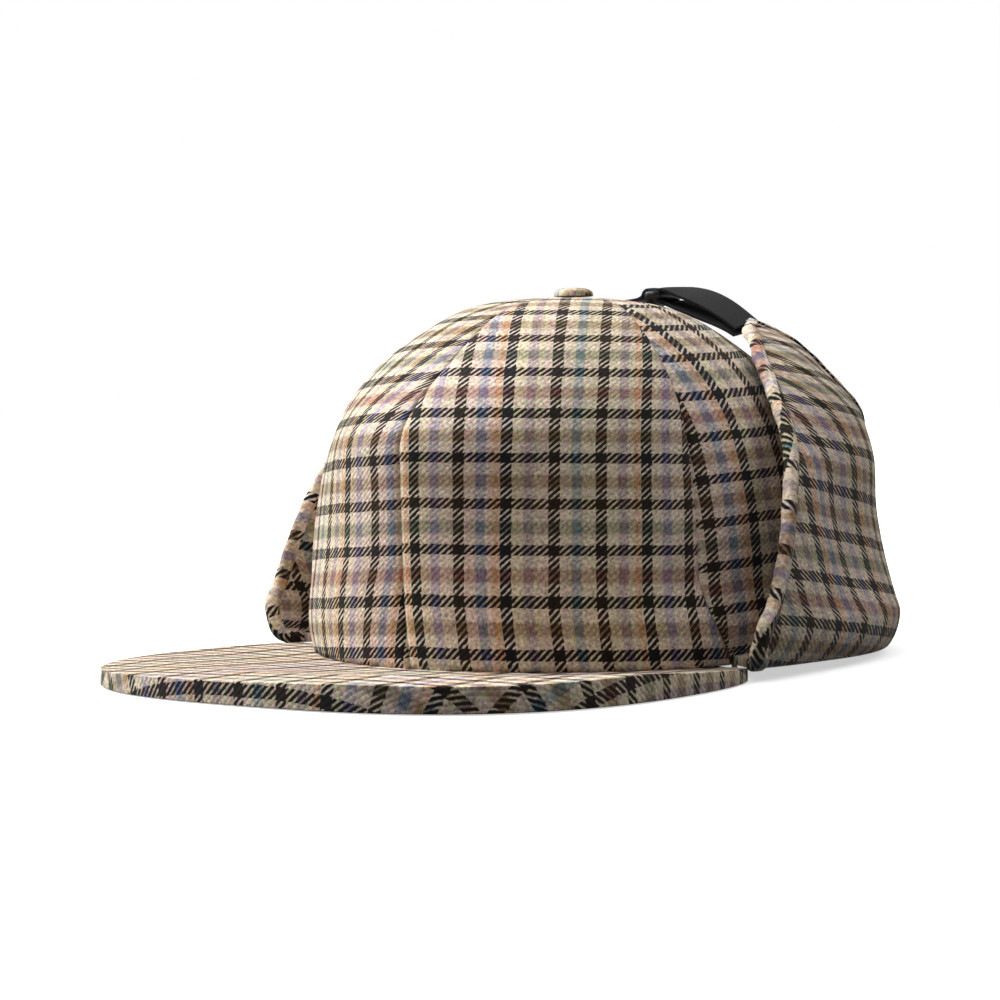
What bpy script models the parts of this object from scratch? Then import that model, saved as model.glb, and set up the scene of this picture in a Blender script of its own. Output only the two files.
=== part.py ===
"""Earflap cap in checked wool: a six-panel crown, a flat brim and turned-up earflaps held by a strap.

Metres, +Z up. The cap rests on the plane z = 0, its brim points to -Y, and the origin lies
under the middle of its length. Angles round the crown are measured from the front, in degrees,
and are positive towards the wearer's left, +X.
"""

import math

import bmesh
import bpy
from mathutils import Vector

# Crown
CROWN_HALF_WIDTH = 0.0843
CROWN_FRONT_REACH = 0.0978
CROWN_REAR_REACH = 0.1010
CROWN_HEIGHT = 0.1200
CROWN_SQUARENESS = 2.05
CROWN_CLOTH = 0.0020
TOP_HOLE_RADIUS = 0.0040
SIDE_SEAM_ANGLE = 60.5
REAR_SEAM_ANGLE = 120.0
CORNER_SWEEP = 8.0
CORNER_RISE = 0.028
CORNER_HOLD = 0.005
CORNER_PUFF = 0.0050
CORNER_SPREAD = 22.0
CORNER_BEHIND_SEAM = 4.0
FRONT_FADE_ANGLE = 45.0
FRONT_FADE_POWER = 2.5

# Brim
BRIM_REACH = 0.1768
BRIM_HALF_WIDTH = 0.0984
BRIM_ROUND_DEPTH = 0.1015
BRIM_SQUARENESS = 2.70
BRIM_THICKNESS = 0.0058
BRIM_EDGE_ROUND = 0.0024
BRIM_END_AHEAD = 0.0468
BRIM_SEAM_MARGIN = 1.5
BRIM_CORNER_START_SHARE = 0.92
BRIM_CORNER_CUT_SHARE = 0.16

# Earflaps
FLAP_SIDE_STANDOFF = 0.0167
FLAP_FRONT_STANDOFF = 0.0167
FLAP_REAR_STANDOFF = 0.0164
FLAP_SQUARENESS = 2.50
FLAP_HEIGHT = 0.1135
FLAP_CLOTH = 0.0030
FLAP_FLARE = 0.0074
FLAP_FLOOR_SPREAD = 0.930
FLAP_WIDEST_SPREAD = 0.992
FLARE_WIDTH = 0.30
LOBE_TIP_WIDTH = 0.28
LOBE_TIP_LEAN = 0.75

# The cap leans back a little: its brim lies flat and the fold at the nape touches down behind.
REST_SLOPE = 0.0235

# Button, strap and ring
BUTTON_RADIUS = 0.0067
BUTTON_HEIGHT = 0.0029
BUTTON_FULLNESS = 0.7
STRAP_Y = 0.0320
STRAP_WIDTH = 0.0130
STRAP_CLOTH = 0.0010
STRAP_TIP_SHARE = 0.24
STRAP_RING_SHARE = 0.28
RING_X = 0.0152
RING_RIDE = 0.0048
RING_BAR_WIDTH = 0.0016
RING_BAR_HEIGHT = 0.0013
RING_SLOT = 0.0036
RING_RAIL = 0.0020

# Grid divisions: columns and rows
PANEL_GRID = (8, 17)
BRIM_GRID = (40, 6)
FLAP_GRID = (50, 24)
STRAP_GRID = (4, 24)
BUTTON_GRID = (24, 6)
STRAP_STEPS = 14
EYE_STEPS = 6

# The earflap's outline stands off the crown's all round.
FLAP_HALF_WIDTH = CROWN_HALF_WIDTH + FLAP_SIDE_STANDOFF
FLAP_FRONT_REACH = CROWN_FRONT_REACH + FLAP_FRONT_STANDOFF
FLAP_REAR_REACH = CROWN_REAR_REACH + FLAP_REAR_STANDOFF

# Clearances
SEAM_GAP = 0.0006
SEAT_GAP = 0.0003
STRAP_SIDE_GAP = 0.0005

# The crown's axis lies off the middle, so that the whole length is centred on the origin.
AXIS_Y = (BRIM_REACH - FLAP_REAR_REACH * FLAP_WIDEST_SPREAD) / 2
REST_Y = AXIS_Y + FLAP_REAR_REACH * FLAP_FLOOR_SPREAD

# Profile of the crown from its lower edge to the hole under the button.
# rise is a share of CROWN_HEIGHT, side and front are shares of the outline's radius.
CROWN_PROFILE = (
    # rise, side, front
    (0.000, 1.000, 1.000),
    (0.130, 0.998, 0.995),
    (0.285, 0.988, 1.004),
    (0.480, 0.953, 1.011),
    (0.585, 0.917, 1.010),
    (0.660, 0.874, 0.952),
    (0.727, 0.817, 0.857),
    (0.790, 0.745, 0.750),
    (0.845, 0.664, 0.655),
    (0.923, 0.512, 0.500),
    (0.970, 0.376, 0.340),
    (0.992, 0.215, 0.190),
    (1.000, 0.000, 0.000),
)

# Profile of the earflap from the crown's seam, under the crown, round the fold and up.
# rise is a share of FLAP_HEIGHT and out is 0 on the crown's outline, 1 on the earflap's.
# spread is a share of that outline's radius, lean a share of the way to the top edge's angle,
# and flare a share of FLAP_FLARE at the front hem.
FLAP_PROFILE = (
    # rise, out, spread, lean, flare
    (0.000, 0.00, 1.000, 0.00, 0.0),
    (0.000, 0.55, 0.970, -0.05, 0.1),
    (0.000, 1.00, FLAP_FLOOR_SPREAD, -0.08, 0.3),
    (0.014, 1.00, 0.960, -0.09, 0.5),
    (0.060, 1.00, 0.984, -0.10, 0.5),
    (0.120, 1.00, FLAP_WIDEST_SPREAD, -0.08, 0.6),
    (0.180, 1.00, 0.975, -0.03, 0.8),
    (0.290, 1.00, 0.948, 0.04, 1.0),
    (0.430, 1.00, 0.925, 0.12, 0.9),
    (0.568, 1.00, 0.919, 0.21, 0.3),
    (0.663, 1.00, 0.896, 0.30, -0.3),
    (0.729, 1.00, 0.869, 0.37, -0.7),
    (0.806, 1.00, 0.807, 0.47, -0.9),
    (0.926, 1.00, 0.686, 0.73, -1.2),
    (1.000, 1.00, 0.539, 1.00, -1.4),
)

# Upper edge of the earflap from its front hem to the middle of the nape.
# foot and head are the angles at which each line up the earflap starts and ends,
# and rise is the share of FLAP_HEIGHT where it ends.
FLAP_EDGE = (
    # foot, head, rise
    (70.0, 110.0, 0.960),
    (84.0, 119.0, 0.985),
    (96.0, 129.0, 0.995),
    (108.0, 128.0, 0.915),
    (122.0, 130.0, 0.800),
    (136.0, 139.0, 0.690),
    (150.0, 151.0, 0.610),
    (165.0, 165.0, 0.570),
    (180.0, 180.0, 0.560),
)

# Side view of the left strap, which is doubled round the ring's bar.
# run is a share of the way from the bar to the tip of the earflap, and upper and lower are
# heights above the straight line between them, as shares of STRAP_ARCH.
STRAP_ARCH = 0.0044
STRAP_SECTION = (
    # run, upper, lower
    (0.00, 0.60, -0.45),
    (0.18, 1.15, -0.24),
    (0.37, 1.45, -0.05),
    (0.55, 1.60, 0.12),
    (0.76, 1.45, 0.06),
    (1.00, 0.85, 0.10),
)
STRAP_EYE_RUN = 0.42

CREAM_WOOL = (0.52, 0.42, 0.30)
DARK_WOOL = (0.36, 0.29, 0.21)
BLACK_WEBBING = (0.012, 0.012, 0.013)
BLACK_PLASTIC = (0.010, 0.010, 0.011)


def clear_scene():
    """Remove whatever the scene holds."""
    for item in list(bpy.data.objects):
        bpy.data.objects.remove(item, do_unlink=True)


def make_collection(name):
    """Add a collection of that name to the scene."""
    collection = bpy.data.collections.new(name)
    bpy.context.scene.collection.children.link(collection)
    return collection


def make_material(name, colour, roughness):
    """A plain material of one colour."""
    material = bpy.data.materials.new(name)
    material.use_nodes = True
    shader = material.node_tree.nodes["Principled BSDF"]
    shader.inputs["Base Color"].default_value = (*colour, 1.0)
    shader.inputs["Roughness"].default_value = roughness
    shader.inputs["Metallic"].default_value = 0.0
    return material


def read_table(rows, way):
    """Read all columns of a table at way, 0 on its first row and 1 on its last, on a smooth curve."""
    last = len(rows) - 1
    position = min(max(way, 0.0), 1.0) * last
    index = min(int(position), last - 1)
    t = position - index
    before, here, there, after = (rows[min(max(index + step, 0), last)] for step in (-1, 0, 1, 2))
    values = []
    for a, b, c, d in zip(before, here, there, after):
        tangent_here = (c - a) / 2
        tangent_there = (d - b) / 2
        values.append(
            (2 * t**3 - 3 * t**2 + 1) * b
            + (t**3 - 2 * t**2 + t) * tangent_here
            + (3 * t**2 - 2 * t**3) * c
            + (t**3 - t**2) * tangent_there
        )
    return values


def find_way(rows, column, target, low=0.0, high=1.0):
    """Where along a table a column reaches a value, for a column that only rises or only falls."""
    rising = read_table(rows, high)[column] > read_table(rows, low)[column]
    for _ in range(40):
        middle = (low + high) / 2
        if (read_table(rows, middle)[column] < target) == rising:
            low = middle
        else:
            high = middle
    return (low + high) / 2


def oval_radius(angle, half_width, front, rear, squareness):
    """Distance from the axis to a rounded oval outline, in the direction of an angle."""
    turn = math.radians(angle)
    across = abs(math.sin(turn)) / half_width
    along = abs(math.cos(turn)) / (front if math.cos(turn) > 0 else rear)
    return (across**squareness + along**squareness) ** (-1 / squareness)


def rest_lift(y):
    """How far the leaning cap stands off the floor at y."""
    return REST_SLOPE * (REST_Y - y)


def round_axis(angle, radius, height):
    """A point of the leaning cap, given by its angle and distance round the crown's axis."""
    turn = math.radians(angle)
    y = AXIS_Y - radius * math.cos(turn)
    return Vector((radius * math.sin(turn), y, height + rest_lift(y)))


def crown_outline(angle):
    """Radius of the crown's outline."""
    return oval_radius(angle, CROWN_HALF_WIDTH, CROWN_FRONT_REACH, CROWN_REAR_REACH, CROWN_SQUARENESS)


def crown_radius(angle, way):
    """Radius and height of the crown's outer face, from its lower edge to its top."""
    rise, side, front = read_table(CROWN_PROFILE, way)
    fade = min(abs(angle) / FRONT_FADE_ANGLE, 1.0)
    frontness = max(0.0, math.cos(math.radians(90 * fade))) ** FRONT_FADE_POWER
    height = rise * CROWN_HEIGHT
    spread = side + (front - side) * frontness
    corner = math.exp(-(((abs(angle) - SIDE_SEAM_ANGLE - CORNER_BEHIND_SEAM) / CORNER_SPREAD) ** 2))
    above_hold = max(0.0, height - CORNER_HOLD) / (CORNER_RISE - CORNER_HOLD)
    low = max(0.0, 1 - above_hold**2) ** 2
    return crown_outline(angle) * spread + CORNER_PUFF * corner * low, height


def crown_height(x, y):
    """Height above the floor of the crown's outer face, with y measured from the crown's axis."""
    angle = math.degrees(math.atan2(x, -y))
    distance = math.hypot(x, y)
    low, high = 0.35, 1.0
    for _ in range(40):
        middle = (low + high) / 2
        if crown_radius(angle, middle)[0] > distance:
            low = middle
        else:
            high = middle
    return crown_radius(angle, low)[1] + rest_lift(AXIS_Y + y)


def side_seam(height):
    """Angle of the seam between front and side panel, which sweeps back at its foot."""
    return SIDE_SEAM_ANGLE + CORNER_SWEEP * max(0.0, 1 - height / CORNER_RISE) ** 1.5


def edge_on_brim(angle):
    """Height of the crown's lower edge where it stands on the flat brim."""
    y = AXIS_Y - crown_outline(angle) * math.cos(math.radians(angle))
    return BRIM_THICKNESS + SEAT_GAP - rest_lift(y)


def edge_on_flap(_angle):
    """Height of the crown's lower edge where it stands on the earflap's cloth."""
    return FLAP_CLOTH + SEAT_GAP


def place_grid(bm, divisions, place):
    """Add a grid and move each of its points to place(across, up), both from 0 to 1."""
    grid = bmesh.ops.create_grid(bm, x_segments=divisions[0], y_segments=divisions[1], size=0.5)
    for vertex in grid["verts"]:
        vertex.co = place(vertex.co.x + 0.5, vertex.co.y + 0.5)


def add_sheet(name, divisions, place, material, collection):
    """A cloth surface, still without thickness, made from a grid."""
    bm = bmesh.new()
    place_grid(bm, divisions, place)
    mesh = bpy.data.meshes.new(name)
    bm.to_mesh(mesh)
    bm.free()
    mesh.shade_smooth()
    mesh.set_sharp_from_angle(angle=math.radians(40))
    mesh.materials.append(material)
    sheet = bpy.data.objects.new(name, mesh)
    collection.objects.link(sheet)
    return sheet


def give_thickness(sheet, thickness, offset):
    """Thicken a sheet; offset 1 grows along its normals and -1 against them."""
    wall = sheet.modifiers.new("Wall", "SOLIDIFY")
    wall.thickness = thickness
    wall.offset = offset
    wall.use_even_offset = True


def round_edges(sheet, width, segments):
    """Round the sharp edges of a thickened sheet."""
    bevel = sheet.modifiers.new("Edge", "BEVEL")
    bevel.width = width
    bevel.segments = segments
    bevel.limit_method = "ANGLE"
    bevel.angle_limit = math.radians(50)


def make_panel(name, first_seam, second_seam, lower_edge, material, collection):
    """One crown panel between two seams, each an angle for a height."""
    end = find_way(CROWN_PROFILE, 1, TOP_HOLE_RADIUS / CROWN_HALF_WIDTH, 0.8, 1.0)

    def place(across, up):
        way = end * up
        rough_angle = first_seam(0) + (second_seam(0) - first_seam(0)) * across
        height = max(lower_edge(rough_angle), crown_radius(0.0, way)[1])
        first = first_seam(height)
        second = second_seam(height)
        radius = crown_radius((first + second) / 2, way)[0]
        margin = math.degrees(SEAM_GAP / 2 / radius) * (1 if second > first else -1)
        angle = first + margin + (second - first - 2 * margin) * across
        return round_axis(angle, crown_radius(angle, way)[0], height)

    panel = add_sheet(name, PANEL_GRID, place, material, collection)
    give_thickness(panel, CROWN_CLOTH, -1)
    return panel


def make_crown(materials, collection):
    """The six panels, each pair mirrored in the middle plane."""
    rows = (
        ("front", lambda height: 0.0, side_seam, edge_on_brim),
        ("side", side_seam, lambda height: REAR_SEAM_ANGLE, edge_on_flap),
        ("back", lambda height: REAR_SEAM_ANGLE, lambda height: 180.0, edge_on_flap),
    )
    for place_name, first, second, edge in rows:
        make_panel(f"crown_panel_{place_name}_left", first, second, edge, materials["wool"], collection)
        make_panel(
            f"crown_panel_{place_name}_right",
            lambda height, seam=second: -seam(height),
            lambda height, seam=first: -seam(height),
            edge,
            materials["wool"],
            collection,
        )


def make_button(material, collection):
    """The covered button on top, a low dome turned about the crown's axis."""
    base = CROWN_HEIGHT + rest_lift(AXIS_Y) + SEAT_GAP
    mesh = bpy.data.meshes.new("crown_button")
    bm = bmesh.new()
    turns, steps = BUTTON_GRID
    outline = [Vector((0, 0, BUTTON_HEIGHT))]
    for step in range(1, steps + 1):
        turn = math.radians(90 * step / steps)
        height = BUTTON_HEIGHT * math.cos(turn) ** BUTTON_FULLNESS
        outline.append(Vector((BUTTON_RADIUS * math.sin(turn), 0, height)))
    outline.append(Vector((0, 0, 0)))
    points = [bm.verts.new(point) for point in outline]
    for first, second in zip(points, points[1:]):
        bm.edges.new((first, second))
    bm.to_mesh(mesh)
    bm.free()
    mesh.materials.append(material)
    button = bpy.data.objects.new("crown_button", mesh)
    button.location = (0, AXIS_Y, base)
    turned = button.modifiers.new("Turned", "SCREW")
    turned.steps = turns
    turned.render_steps = turns
    turned.use_merge_vertices = True
    turned.merge_threshold = 0.00005
    turned.use_smooth_shade = True
    collection.objects.link(button)
    return button


def brim_angle_at(y):
    """Angle about the brim's own centre at which its outline reaches y."""
    behind = y + BRIM_REACH - BRIM_ROUND_DEPTH
    share = 1 - (abs(behind) / BRIM_ROUND_DEPTH) ** BRIM_SQUARENESS
    return math.degrees(math.atan2(BRIM_HALF_WIDTH * share ** (1 / BRIM_SQUARENESS), -behind))


def make_brim(material, collection):
    """The flat brim, from under the crown's front wall to its rounded outline."""
    centre_y = BRIM_ROUND_DEPTH - BRIM_REACH
    last_inner = side_seam(BRIM_THICKNESS) - BRIM_SEAM_MARGIN
    last_outer = brim_angle_at(-BRIM_END_AHEAD)

    def place(across, up):
        side = 2 * across - 1
        inner = round_axis(side * last_inner, crown_outline(side * last_inner) - CROWN_CLOTH, 0)
        inner.z = 0
        outer_angle = side * last_outer
        reach = oval_radius(
            outer_angle, BRIM_HALF_WIDTH, BRIM_ROUND_DEPTH, BRIM_ROUND_DEPTH, BRIM_SQUARENESS
        )
        outer = round_axis(outer_angle, reach, 0) + Vector((0, centre_y, 0))
        outer.z = 0
        corner = max(0.0, (abs(side) - BRIM_CORNER_START_SHARE) / (1 - BRIM_CORNER_START_SHARE))
        return inner.lerp(outer, up * (1 - BRIM_CORNER_CUT_SHARE * (1 - math.sqrt(1 - corner**2))))

    brim = add_sheet("brim", BRIM_GRID, place, material, collection)
    give_thickness(brim, BRIM_THICKNESS, -1)
    round_edges(brim, BRIM_EDGE_ROUND, 2)
    return brim


def flap_point(way_across, up):
    """A point on the earflap's outer face; way_across is 0 at the front hem and 1 at the nape."""
    foot, head, top_rise = read_table(FLAP_EDGE, way_across)
    top_way = find_way(FLAP_PROFILE, 0, top_rise, 0.25, 1.0)
    way = up * top_way
    rise, out, spread, lean, flare = read_table(FLAP_PROFILE, way)
    top_lean = read_table(FLAP_PROFILE, top_way)[3]
    angle = foot + (head - foot) * lean / top_lean
    flap_radius = oval_radius(
        angle, FLAP_HALF_WIDTH, FLAP_FRONT_REACH, FLAP_REAR_REACH, FLAP_SQUARENESS
    )
    seam_radius = crown_outline(angle) - CROWN_CLOTH
    near_hem = max(0.0, 1 - way_across / FLARE_WIDTH) ** 2
    radius = seam_radius + (flap_radius * spread - seam_radius) * out + FLAP_FLARE * flare * near_hem
    return round_axis(angle, radius, max(rise, 0.0) * FLAP_HEIGHT)


def make_earflap(material, collection):
    """Both ear lobes and the nape between them, one folded piece of cloth."""

    def place(across, up):
        side = 1 - 2 * across
        point = flap_point(1 - abs(side), up)
        point.x *= -1 if side < 0 else 1
        return point

    flap = add_sheet("earflap", FLAP_GRID, place, material, collection)
    give_thickness(flap, FLAP_CLOTH, -1)
    return flap


def make_outline(name, outlines, half_depth, location, material, collection):
    """A flat outline in the XZ plane, given depth along Y; further outlines are holes."""
    curve = bpy.data.curves.new(name, "CURVE")
    curve.dimensions = "2D"
    curve.fill_mode = "BOTH"
    curve.extrude = half_depth
    for outline in outlines:
        spline = curve.splines.new("POLY")
        spline.points.add(len(outline) - 1)
        spline.use_cyclic_u = True
        for point, (x, z) in zip(spline.points, outline):
            point.co = (x, z, 0, 1)
    curve.materials.append(material)
    piece = bpy.data.objects.new(name, curve)
    piece.location = location
    piece.rotation_euler = (math.radians(90), 0, 0)
    weld = piece.modifiers.new("Closed", "WELD")
    weld.merge_threshold = 0.00002
    collection.objects.link(piece)
    return piece


def ring_height():
    """Height of the middle of the ring's bars."""
    return crown_height(RING_X, STRAP_Y) + RING_RIDE


def strap_end():
    """Where the left strap meets the upper edge of its ear lobe, clear of the edge all across."""
    near = AXIS_Y + STRAP_Y - STRAP_WIDTH / 2
    far = near + STRAP_WIDTH
    edge = [flap_point(LOBE_TIP_WIDTH * step / 40, 1.0) for step in range(41)]
    beside = [point for point in edge if near <= point.y <= far] or edge
    lean = FLAP_CLOTH * LOBE_TIP_LEAN
    height = sum(point.z for point in beside) / len(beside)
    return Vector((min(point.x for point in beside) - lean - SEAT_GAP, 0, height - FLAP_CLOTH / 2))


def make_left_strap(material, collection):
    """Doubled webbing from the ring's outer bar to the tip of the left ear lobe."""
    bar_outer = RING_X + RING_SLOT / 2
    start = Vector((bar_outer - SEAT_GAP - STRAP_CLOTH, 0, ring_height()))
    end = strap_end()
    upper, lower = [], []
    for step in range(STRAP_STEPS + 1):
        run, high, low = read_table(STRAP_SECTION, step / STRAP_STEPS)
        point = start.lerp(end, run)
        upper.append((point.x, point.z + high * STRAP_ARCH))
        lower.append((point.x, point.z + low * STRAP_ARCH))
    eye = []
    for step in range(EYE_STEPS + 1):
        share = step / EYE_STEPS
        run, high, low = read_table(STRAP_SECTION, share * STRAP_EYE_RUN)
        point = start.lerp(end, run)
        x = point.x + STRAP_CLOTH
        middle = (high + low) / 2 * STRAP_ARCH
        half = ((high - low) / 2 * STRAP_ARCH - STRAP_CLOTH) * (1 - share**3)
        eye.append((x, point.z + middle, max(half, 0.0001)))
    hole = [(x, z + half) for x, z, half in eye] + [(x, z - half) for x, z, half in reversed(eye)]
    outline = upper + lower[::-1]
    return make_outline(
        "strap_left", (outline, hole), STRAP_WIDTH / 2, (0, AXIS_Y + STRAP_Y, 0), material, collection
    )


def make_right_strap(material, collection):
    """Webbing that lies on the crown, from the right ear lobe to the ring's inner bar."""
    end = strap_end()
    bar_edge = RING_X - RING_SLOT / 2 - RING_BAR_WIDTH - SEAT_GAP

    def place(across, up):
        x = -end.x + (bar_edge + end.x) * up
        y = STRAP_Y + STRAP_WIDTH * (across - 0.5)
        on_crown = crown_height(x, y) + SEAT_GAP * 2
        at_tip = max(0.0, 1 - up / STRAP_TIP_SHARE) ** 2
        at_ring = max(0.0, 1 - (1 - up) / STRAP_RING_SHARE) ** 2
        height = on_crown * (1 - at_tip) + end.z * at_tip
        height += (ring_height() - STRAP_CLOTH / 2 - on_crown) * at_ring
        return Vector((x, AXIS_Y + y, height))

    strap = add_sheet("strap_right", STRAP_GRID, place, material, collection)
    give_thickness(strap, STRAP_CLOTH, -1)
    return strap


def make_ring(material, collection):
    """The flat ring that joins the two straps: two rails and two bars round one slot."""
    inner_x = RING_SLOT / 2
    outer_x = inner_x + RING_BAR_WIDTH
    inner_y = STRAP_WIDTH / 2 + STRAP_SIDE_GAP
    outer_y = inner_y + RING_RAIL
    bm = bmesh.new()
    bmesh.ops.create_grid(bm, x_segments=3, y_segments=3, size=0.5)
    for vertex in bm.verts:
        x, y = vertex.co.x, vertex.co.y
        vertex.co.x = math.copysign(outer_x if abs(x) > 0.4 else inner_x, x)
        vertex.co.y = math.copysign(outer_y if abs(y) > 0.4 else inner_y, y)
    middle = [face for face in bm.faces if face.calc_center_median().length < inner_x / 2]
    bmesh.ops.delete(bm, geom=middle, context="FACES")
    mesh = bpy.data.meshes.new("strap_ring")
    bm.to_mesh(mesh)
    bm.free()
    mesh.materials.append(material)
    ring = bpy.data.objects.new("strap_ring", mesh)
    ring.location = (RING_X, AXIS_Y + STRAP_Y, ring_height())
    give_thickness(ring, RING_BAR_HEIGHT, 0)
    round_edges(ring, RING_BAR_HEIGHT / 4, 1)
    collection.objects.link(ring)
    return ring


def build_cap():
    """Build every piece of the cap."""
    clear_scene()
    collection = make_collection("earflap_cap")
    materials = {
        "wool": make_material("checked wool", CREAM_WOOL, 0.9),
        "wool_shade": make_material("checked wool, brim and flaps", DARK_WOOL, 0.9),
        "webbing": make_material("black webbing", BLACK_WEBBING, 0.6),
        "plastic": make_material("black plastic", BLACK_PLASTIC, 0.35),
    }
    make_crown(materials, collection)
    make_button(materials["wool"], collection)
    make_brim(materials["wool_shade"], collection)
    make_earflap(materials["wool_shade"], collection)
    make_left_strap(materials["webbing"], collection)
    make_right_strap(materials["webbing"], collection)
    make_ring(materials["plastic"], collection)


build_cap()
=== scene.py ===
"""The looks of the earflap cap: checked wool on every cloth piece, black webbing and a black ring."""

import math

import bpy
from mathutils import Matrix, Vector


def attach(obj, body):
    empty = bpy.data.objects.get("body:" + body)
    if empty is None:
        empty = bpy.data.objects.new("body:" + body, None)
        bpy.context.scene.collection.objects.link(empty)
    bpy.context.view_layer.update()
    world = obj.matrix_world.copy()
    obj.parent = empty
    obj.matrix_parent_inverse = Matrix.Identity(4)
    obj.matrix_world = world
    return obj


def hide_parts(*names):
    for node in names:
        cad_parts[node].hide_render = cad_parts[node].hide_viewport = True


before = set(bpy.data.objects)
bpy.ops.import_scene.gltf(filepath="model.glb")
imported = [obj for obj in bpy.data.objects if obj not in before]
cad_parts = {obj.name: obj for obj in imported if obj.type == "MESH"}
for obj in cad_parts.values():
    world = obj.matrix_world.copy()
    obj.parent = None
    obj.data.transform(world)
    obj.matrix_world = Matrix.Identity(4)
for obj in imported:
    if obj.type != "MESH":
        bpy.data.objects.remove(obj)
for item in bpy.context.selected_objects:
    item.select_set(False)
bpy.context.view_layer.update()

# Sizes that the solids have too, in metres and degrees
CROWN_HALF_WIDTH = 0.0843
CROWN_FRONT_REACH = 0.0978
CROWN_REAR_REACH = 0.1010
CROWN_HEIGHT = 0.1200
CROWN_SQUARENESS = 2.05
CROWN_CLOTH = 0.0020
TOP_HOLE_RADIUS = 0.0040
SIDE_SEAM_ANGLE = 60.5
REAR_SEAM_ANGLE = 120.0
CORNER_SWEEP = 8.0
CORNER_RISE = 0.028
CORNER_HOLD = 0.005
CORNER_PUFF = 0.0050
CORNER_SPREAD = 22.0
CORNER_BEHIND_SEAM = 4.0
FRONT_FADE_ANGLE = 45.0
FRONT_FADE_POWER = 2.5
BRIM_REACH = 0.1768
BRIM_HALF_WIDTH = 0.0984
BRIM_ROUND_DEPTH = 0.1015
BRIM_SQUARENESS = 2.70
BRIM_THICKNESS = 0.0058
FLAP_HALF_WIDTH = 0.1010
FLAP_FRONT_REACH = 0.1145
FLAP_REAR_REACH = 0.1174
FLAP_SQUARENESS = 2.50
FLAP_HEIGHT = 0.1135
FLAP_CLOTH = 0.0030
FLAP_FLARE = 0.0074
FLAP_FLOOR_SPREAD = 0.930
FLAP_WIDEST_SPREAD = 0.992
FLARE_WIDTH = 0.30
REST_SLOPE = 0.0235
BUTTON_RADIUS = 0.0067
STRAP_Y = 0.0320
STRAP_WIDTH = 0.0130
SEAT_GAP = 0.0003
AXIS_Y = (BRIM_REACH - FLAP_REAR_REACH * FLAP_WIDEST_SPREAD) / 2
REST_Y = AXIS_Y + FLAP_REAR_REACH * FLAP_FLOOR_SPREAD

# Sizes of the dressed pieces alone, in metres and degrees
SEAM_DIP = 0.0009
SEAM_DIP_WIDTH = 0.0016
FOOT_TUCK = 0.0036
FOOT_TUCK_HEIGHT = 0.0260
PANEL_WAVE = 0.00035
PANEL_WAVE_ACROSS = 0.012
PANEL_WAVE_UP = 0.015
PANEL_WAVE_FADE = 0.01
BRIM_END_AHEAD = 0.0414
BRIM_SEAM_MARGIN = 0.4
BRIM_RIM_ROUND = 0.0026
BRIM_SEAT = 0.0034
BRIM_UNDER_CROWN = 0.0068
BRIM_NEAR_RISE = 0.0046
BRIM_FAR_RISE = 0.0012
BRIM_WAVE = 0.00018
BRIM_WAVE_ACROSS = 0.02
BRIM_WAVE_ALONG = 0.017
BUTTON_HEIGHT = 0.0032
BUTTON_PLEATS = 14
FLAP_SEAM_MARGIN = 0.4
FLAP_WAVE = 0.0008
HEM_CLOTH = 0.0006
HEM_ROLL = 0.0017
HEM_LAP = 0.0016
HEM_WIDE_BELOW = 0.028
HEM_TAPER = 0.012
HEM_PUCKER = 0.00010
HEM_PUCKER_STEP = 0.0016
HEM_WAVE = 0.00014
HEM_WAVE_STEP = 0.006
HEM_CLEARANCE = 0.00005
WEBBING = 0.0011
STRAP_CROWN = 0.0004
RING_X = 0.0161
RING_HEIGHT = 0.1238
RING_HALF_WIDTH = 0.0026
RING_PAST_STRAP = 0.0014
RING_HALF_WALL = 0.0008
RING_HALF_HEIGHT = 0.0014

# Shares of the brim: where its rear corner starts, how much that takes off, how far out its top rises
BRIM_CORNER_START = 0.80
BRIM_CORNER_CUT = 0.30
BRIM_RISE_RUN = 0.55

# Shares of the button's height and radius
BUTTON_RIM = 0.12
BUTTON_UNDER = 0.10
BUTTON_PLEAT = 0.020
BUTTON_PLEAT_TOP = 0.35

# Shares of the earflap, along it and up it
FLAP_FOLD_END = 0.2
FLAP_FOLD_SPREAD = 0.97
HEM_INSET = 0.006
TOP_INSET = 0.010
HEM_START = 0.10
HEM_FRONT_SHARE = 0.40
LOBE_ROUND = 0.040
LOBE_ROUND_WIDTH = 0.085

# Faces of each grid, across and up
PANEL_GRID = (64, 110)
BRIM_GRID = (170, 30)
FLAP_GRID = (250, 100)
HEM_GRID = (460, 18)
LEFT_STRAP_GRID = (240, 10)
RIGHT_STRAP_GRID = (260, 10)

# Where each piece is cut from the cloth, in metres, and how much of the cloth it takes up
BRIM_CUT = (0.0009, -0.0082)
BRIM_UNDER_CUT = (0.006, 0.004)
BRIM_EASE = 0.953
BRIM_RIM_EASE = 0.9
FLAP_LEFT_CUT = (0.0049, 0.0081)
FLAP_EASE = 0.75
FLAP_RIGHT_CUT = (0.005, 0.004)
FLAP_GRAIN_SLOPE = -0.100
FLAP_MEASURED_AT = 0.22
FLAP_WAY_STEPS = 200
HEM_CUT = (0.0, -0.0045)
HEM_SLANT = 11.0
BUTTON_CUT = (0.0112, 0.0095)
BUTTON_EASE = 0.60
DOME_EASE = 0.13
DOME_EASE_START = 0.070
DOME_EASE_RUN = 0.020

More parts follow.
